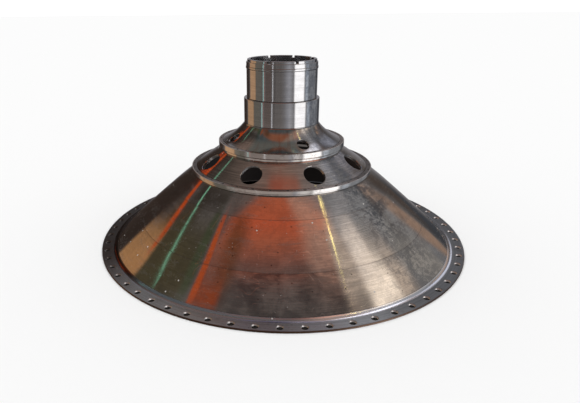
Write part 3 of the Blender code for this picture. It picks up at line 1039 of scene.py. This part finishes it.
def card(under, colour, start, end, half, ease):
    """A soft strip of light over what is under it, from start to end in (bearing, height).

    Bearings are degrees from -Y towards +X. The strip is full where the direction lies
    within half a width of the line from start to end, and fades over ease.
    """
    run = np.subtract(end, start)
    reach = float(run @ run)
    side = bearing.math("WRAP", bearing - start[0], 180.0, -180.0)
    lift = height - start[1]
    share = ((side * float(run[0]) + lift * float(run[1])) / max(reach, 1e-6))
    share = share.node("Clamp", values={0: share})
    away_x = side - share * float(run[0])
    away_y = lift - share * float(run[1])
    away = (away_x * away_x + away_y * away_y) ** 0.5
    return away.soft(half + ease, half - ease).over(under, colour)


folds = gaze.node("CombineXYZ", values={0: gaze_x, 1: gaze_y, 2: gaze_z * 0.15})
folds = folds.node("TexNoise", values={"Vector": folds, "Scale": 7.0, "Detail": 4.0, "Roughness": 0.65})
room = folds.over((0.04, 0.036, 0.036), (0.24, 0.22, 0.21))
walls_and_corners = [
    # right wall, back wall, dark left corner, brown left wall, its olive and dark parts
    ((0.26, 0.27, 0.29), (106, -40), (106, 50), 30, 14),
    ((0.30, 0.29, 0.31), (180, -40), (180, 50), 22, 10),
    ((0.06, 0.065, 0.075), (146, -40), (146, -4), 8, 5),
    ((0.045, 0.032, 0.026), (-148, -40), (-148, 36), 17, 8),
    ((0.085, 0.060, 0.040), (-124, 22), (-112, 34), 6, 4),
    ((0.095, 0.080, 0.045), (-90, 44), (-112, 27), 7, 3),
    ((0.055, 0.045, 0.038), (-106, 54), (-126, 35), 5, 4),
    ((0.080, 0.065, 0.055), (-120, 58), (-134, 38), 5, 3),
    ((0.085, 0.100, 0.055), (-83, 45), (-95, 51), 3, 2),
]
for colour, start, end, half, ease in walls_and_corners:
    room = card(room, colour, start, end, half, ease)

# The ceiling leans back: its height is read square to a plane that rises behind the part.
ceiling = gaze_z + 0.556 * gaze_y
room = (ceiling.soft(0.69, 0.78) * bearing.between(-82.0, 78.0, 4.0)).over(room, (0.57, 0.15, 0.075))
room = (ceiling.soft(0.62, 0.74) * bearing.between(42.0, 84.0, 16.0)).over(room, (0.64, 0.36, 0.27))
room = ceiling.soft(0.94, 1.06).over(room, (0.28, 0.20, 0.165))
cards = [
    # grey light from the upper right, its dark gap, dim corner on the far right
    ((0.42, 0.42, 0.44), (82, 56), (106, 52), 4, 5),
    ((0.36, 0.36, 0.38), (106, 52), (140, 50), 4, 5),
    ((0.12, 0.12, 0.125), (121, 27), (128, 36), 4, 4),
    ((0.10, 0.080, 0.070), (139, 27), (146, 2), 4, 3),
    ((0.40, 0.38, 0.355), (110, 27), (122, 12), 4.5, 4),
    # dim stretch of the orange ceiling, orange corner below it
    ((0.22, 0.075, 0.035), (-72, 62), (-62, 61), 6, 7),
    ((0.40, 0.075, 0.020), (-74, 48), (-60, 53), 3, 2.5),
    # grey and tan cards at the height of the eye
    ((0.46, 0.46, 0.50), (22, -40), (22, -2), 9, 20),
    ((0.17, 0.155, 0.13), (-82, -40), (-82, -2), 12, 3),
    ((0.07, 0.06, 0.05), (-96, -40), (-96, -2), 1.5, 1),
    ((0.54, 0.33, 0.19), (-110, -30), (-110, -4), 15, 2),
    ((0.55, 0.29, 0.13), (-129, 9), (-118, 20), 5.5, 2),
    # main white light, its warm glow above, bluish card beside it, windows behind
    ((1.65, 1.62, 1.62), (57, -40), (57, -2), 18, 3),
    ((0.50, 0.54, 0.60), (86, -40), (86, -2), 6, 4),
    ((0.80, 0.64, 0.52), (64, 52), (74, 58), 4, 4),
    ((0.80, 0.66, 0.54), (70, 54), (99, 32), 5.5, 5),
    ((1.40, 1.24, 1.10), (83, 50), (90, 46.5), 3.5, 4),
    ((2.10, 1.84, 1.54), (77, 43.5), (91, 38), 3, 3.5),
    ((0.24, 0.24, 0.36), (178, 40), (178, 56), 9, 4),
    ((0.50, 0.44, 0.42), (172, 18), (188, 18), 4, 3),
    ((0.38, 0.40, 0.435), (161, 29), (174, 32), 4, 3),
    ((0.38, 0.40, 0.435), (174, 32), (198, 31), 5, 3),
    ((0.60, 0.62, 0.72), (142, 36), (150, 25), 6, 3),
    ((1.50, 1.53, 1.70), (138, 51), (160, 47), 5, 3),
    # narrow strips
    ((0.66, 0.095, 0.02), (-119, 25), (-149, 29.5), 1.6, 0.6),
    ((0.66, 0.085, 0.02), (-138, 27), (-148, 21.5), 1.6, 0.6),
    ((0.36, 0.90, 0.60), (-99, 33), (-136, 41), 0.45, 0.4),
    ((0.49, 0.76, 0.72), (-63, -30), (-63, -2), 1.6, 0.8),
    ((0.50, 0.24, 0.22), (-59, -30), (-59, -2), 0.8, 0.8),
    ((0.13, 0.10, 0.09), (-45, -30), (-45, -2), 10, 2),
    ((1.00, 1.00, 1.05), (-30.5, -30), (-30.5, -2), 1.0, 0.5),
    ((0.42, 0.36, 0.33), (-66, -22), (8, -22), 6, 3),
    ((0.85, 0.80, 0.76), (26, -22), (30, -22), 6, 5),
    ((0.60, 0.11, 0.03), (-75, 46.5), (-80, 51.5), 2.1, 0.7),
    ((0.60, 0.11, 0.03), (-80, 51.5), (-89, 55), 1.7, 0.6),
    ((0.42, 0.29, 0.22), (127, 31), (136, 2), 3, 1.5),
    ((8.00, 7.00, 2.60), (68.5, 57.7), (75, 60), 0.2, 0.2),
    ((8.00, 7.00, 2.60), (84, 63.7), (95, 64.6), 0.2, 0.2),
    ((6.00, 5.20, 2.00), (86, 62.7), (94, 63.1), 0.15, 0.2),
]
for colour, start, end, half, ease in cards:
    room = card(room, colour, start, end, half, ease)
for_metal = Tone(world.node_tree).node("LightPath", out="Is Glossy Ray")
seen = for_metal.over((1.12, 1.12, 1.12), room)
world.node_tree.links.new(seen.socket, sky.inputs["Color"])


# Camera

focal_px = 513.7
frame_px = 580
pitch = math.radians(21.08)
roll = math.radians(-0.531)
aim = math.radians(1.86)
lens_shift_px = 39.0
camera_place = (-0.0242, -0.8439, 0.3817)

camera_data = bpy.data.cameras.new("camera")
camera = bpy.data.objects.new("camera", camera_data)
bpy.context.scene.collection.objects.link(camera)
camera_data.sensor_width = 36.0
camera_data.lens = focal_px / frame_px * camera_data.sensor_width
camera_data.shift_x = lens_shift_px / frame_px
forward = Vector((-math.sin(aim) * math.cos(pitch), math.cos(aim) * math.cos(pitch), -math.sin(pitch)))
camera.location = camera_place
camera.rotation_euler = (
    forward.to_track_quat("-Z", "Y").to_matrix().to_4x4() @ Matrix.Rotation(roll, 4, "Z")).to_euler()
bpy.context.scene.camera = camera
bpy.context.scene.view_settings.view_transform = "Standard"
